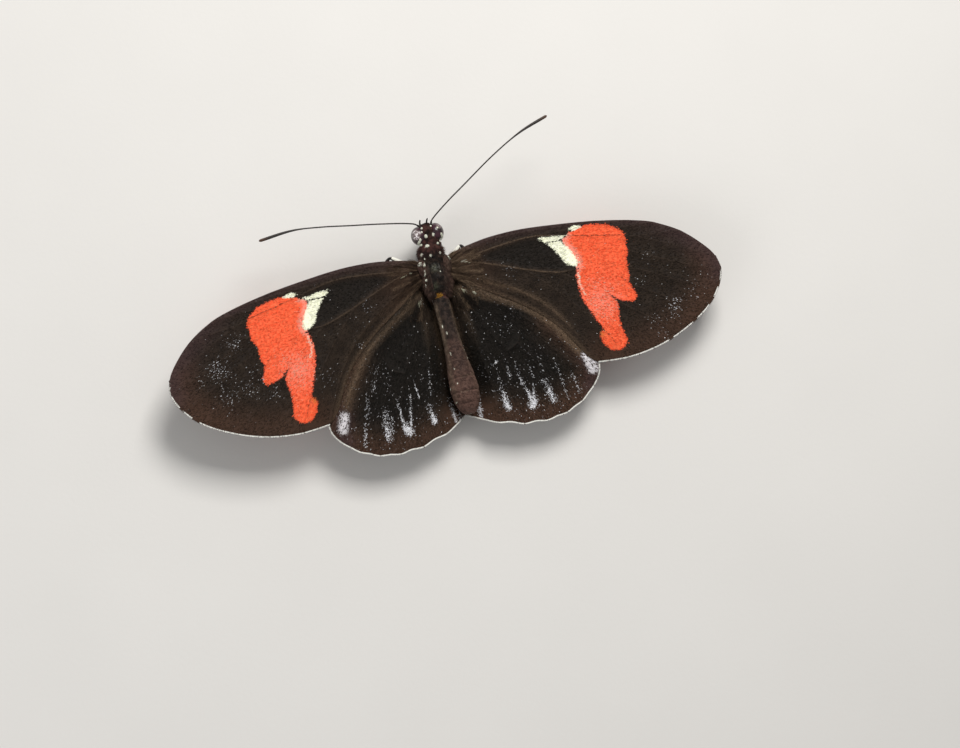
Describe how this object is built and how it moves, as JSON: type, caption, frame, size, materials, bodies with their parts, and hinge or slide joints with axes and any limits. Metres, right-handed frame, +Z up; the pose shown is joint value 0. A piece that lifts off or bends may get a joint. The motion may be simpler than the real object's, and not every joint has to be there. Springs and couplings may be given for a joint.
{
  "type": "postman butterfly model",
  "caption": "Life-size still model of a postman butterfly at rest with its wings spread flat, black with a red and cream band across each forewing.",
  "frame": {"origin": "on the floor, under the middle of the model's box, wings and antennae included", "axes": "+X towards the butterfly's left, +Y towards its tail, +Z up"},
  "size_m": [0.0736, 0.039, 0.0103],
  "materials": {
    "body": "short black hair with white spots",
    "abdomen": "short purplish brown scales with pale segment lines",
    "eye": "glossy, dark purple brown",
    "tongue": "satin, dark brown",
    "antenna": "satin black, brown at the tips",
    "leg": "satin black, white beneath",
    "wing": "matte black scales with a red and cream band"
  },
  "bodies": {
    "root": {"head": "body", "prothorax": "body", "thorax": "body", "abdomen": "abdomen", "eye_left": "eye", "eye_right": "eye", "palp_left": "body", "palp_right": "body", "proboscis": "tongue", "antenna_left": "antenna", "antenna_right": "antenna", "foreleg_left": "leg", "foreleg_right": "leg", "midleg_left": "leg", "midleg_right": "leg", "hindleg_left": "leg", "hindleg_right": "leg", "forewing_left": "wing", "forewing_right": "wing", "hindwing_left": "wing", "hindwing_right": "wing"}
  },
  "joints": []
}
